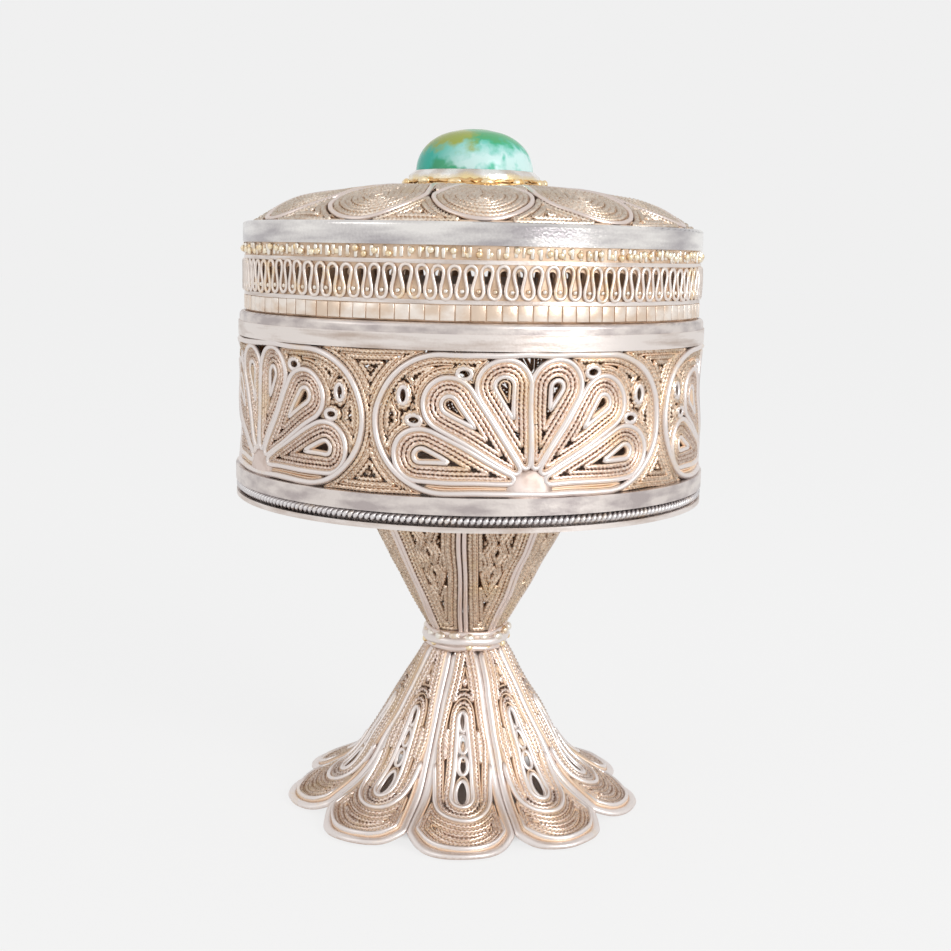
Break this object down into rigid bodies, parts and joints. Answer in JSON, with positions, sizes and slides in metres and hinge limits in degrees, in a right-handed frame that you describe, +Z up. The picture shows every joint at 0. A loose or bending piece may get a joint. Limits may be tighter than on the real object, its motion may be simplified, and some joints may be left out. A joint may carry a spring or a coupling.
{
  "type": "trinket box",
  "caption": "Stemmed round filigree trinket box with a scalloped bell foot, fan medallions on its wall and a lift-off domed lid with a cabochon stone as its knob.",
  "frame": {"origin": "centre of the foot, on the plane that the petal tips stand on", "axes": "+Z up along the axis of the box and the stem, -Y the front in the picture, +X its right"},
  "size_m": [0.04, 0.04, 0.0583],
  "materials": {
    "silver": "worn satin silver with light scratches",
    "silver_wire": "smooth rubbed silver wire, bright on its crown",
    "polished_silver": "polished silver band with fine wear",
    "tarnished_silver": "twisted silver wire with warm tarnish in its hollows",
    "stone": "polished mottled green and turquoise cabochon"
  },
  "bodies": {
    "box": {"inner_collar": "polished_silver", "rim_wire": "silver", "top_band": "silver", "bottom_band": "silver", "rope_wire": "silver_wire", "base_edge_wire": "silver_wire", "floor_plate": "silver", "stem_cup_panels": "tarnished_silver", "stem_cup_ribs": "silver_wire", "waist_ring": "silver", "foot_outline_wires": "silver_wire", "foot_arch_wires": "silver_wire", "foot_drop_wires": "silver_wire", "medallion_frame_1": "silver_wire", "medallion_fill_1": "tarnished_silver", "fan_1": "silver_wire", "spandrel_fill_1": "tarnished_silver", "medallion_frame_2": "silver_wire", "medallion_fill_2": "tarnished_silver", "fan_2": "silver_wire", "spandrel_fill_2": "tarnished_silver", "medallion_frame_3": "silver_wire", "medallion_fill_3": "tarnished_silver", "fan_3": "silver_wire", "spandrel_fill_3": "tarnished_silver", "medallion_frame_4": "silver_wire", "medallion_fill_4": "tarnished_silver", "fan_4": "silver_wire", "spandrel_fill_4": "tarnished_silver", "medallion_frame_5": "silver_wire", "medallion_fill_5": "tarnished_silver", "fan_5": "silver_wire", "spandrel_fill_5": "tarnished_silver", "foot_petal_1": "tarnished_silver", "foot_petal_2": "tarnished_silver", "foot_petal_3": "tarnished_silver", "foot_petal_4": "tarnished_silver", "foot_petal_5": "tarnished_silver", "foot_petal_6": "tarnished_silver", "foot_petal_7": "tarnished_silver", "foot_petal_8": "tarnished_silver", "foot_petal_9": "tarnished_silver"},
    "lid": {"stone": "stone", "bezel_cup": "polished_silver", "bezel_foot_wire": "tarnished_silver", "lid_dome": "tarnished_silver", "dome_petal_wires": "silver_wire", "lid_rim_band": "polished_silver", "lid_bead_row": "tarnished_silver", "lid_upper_wire": "silver_wire", "lid_wave_band": "silver", "lid_lower_wire": "silver_wire", "lid_edge_strip": "silver"}
  },
  "joints": [
    {"name": "lid_lift", "type": "slide", "parent": "box", "child": "lid", "axis": [0, 0, 1], "range_m": [0, 0.02]}
  ]
}
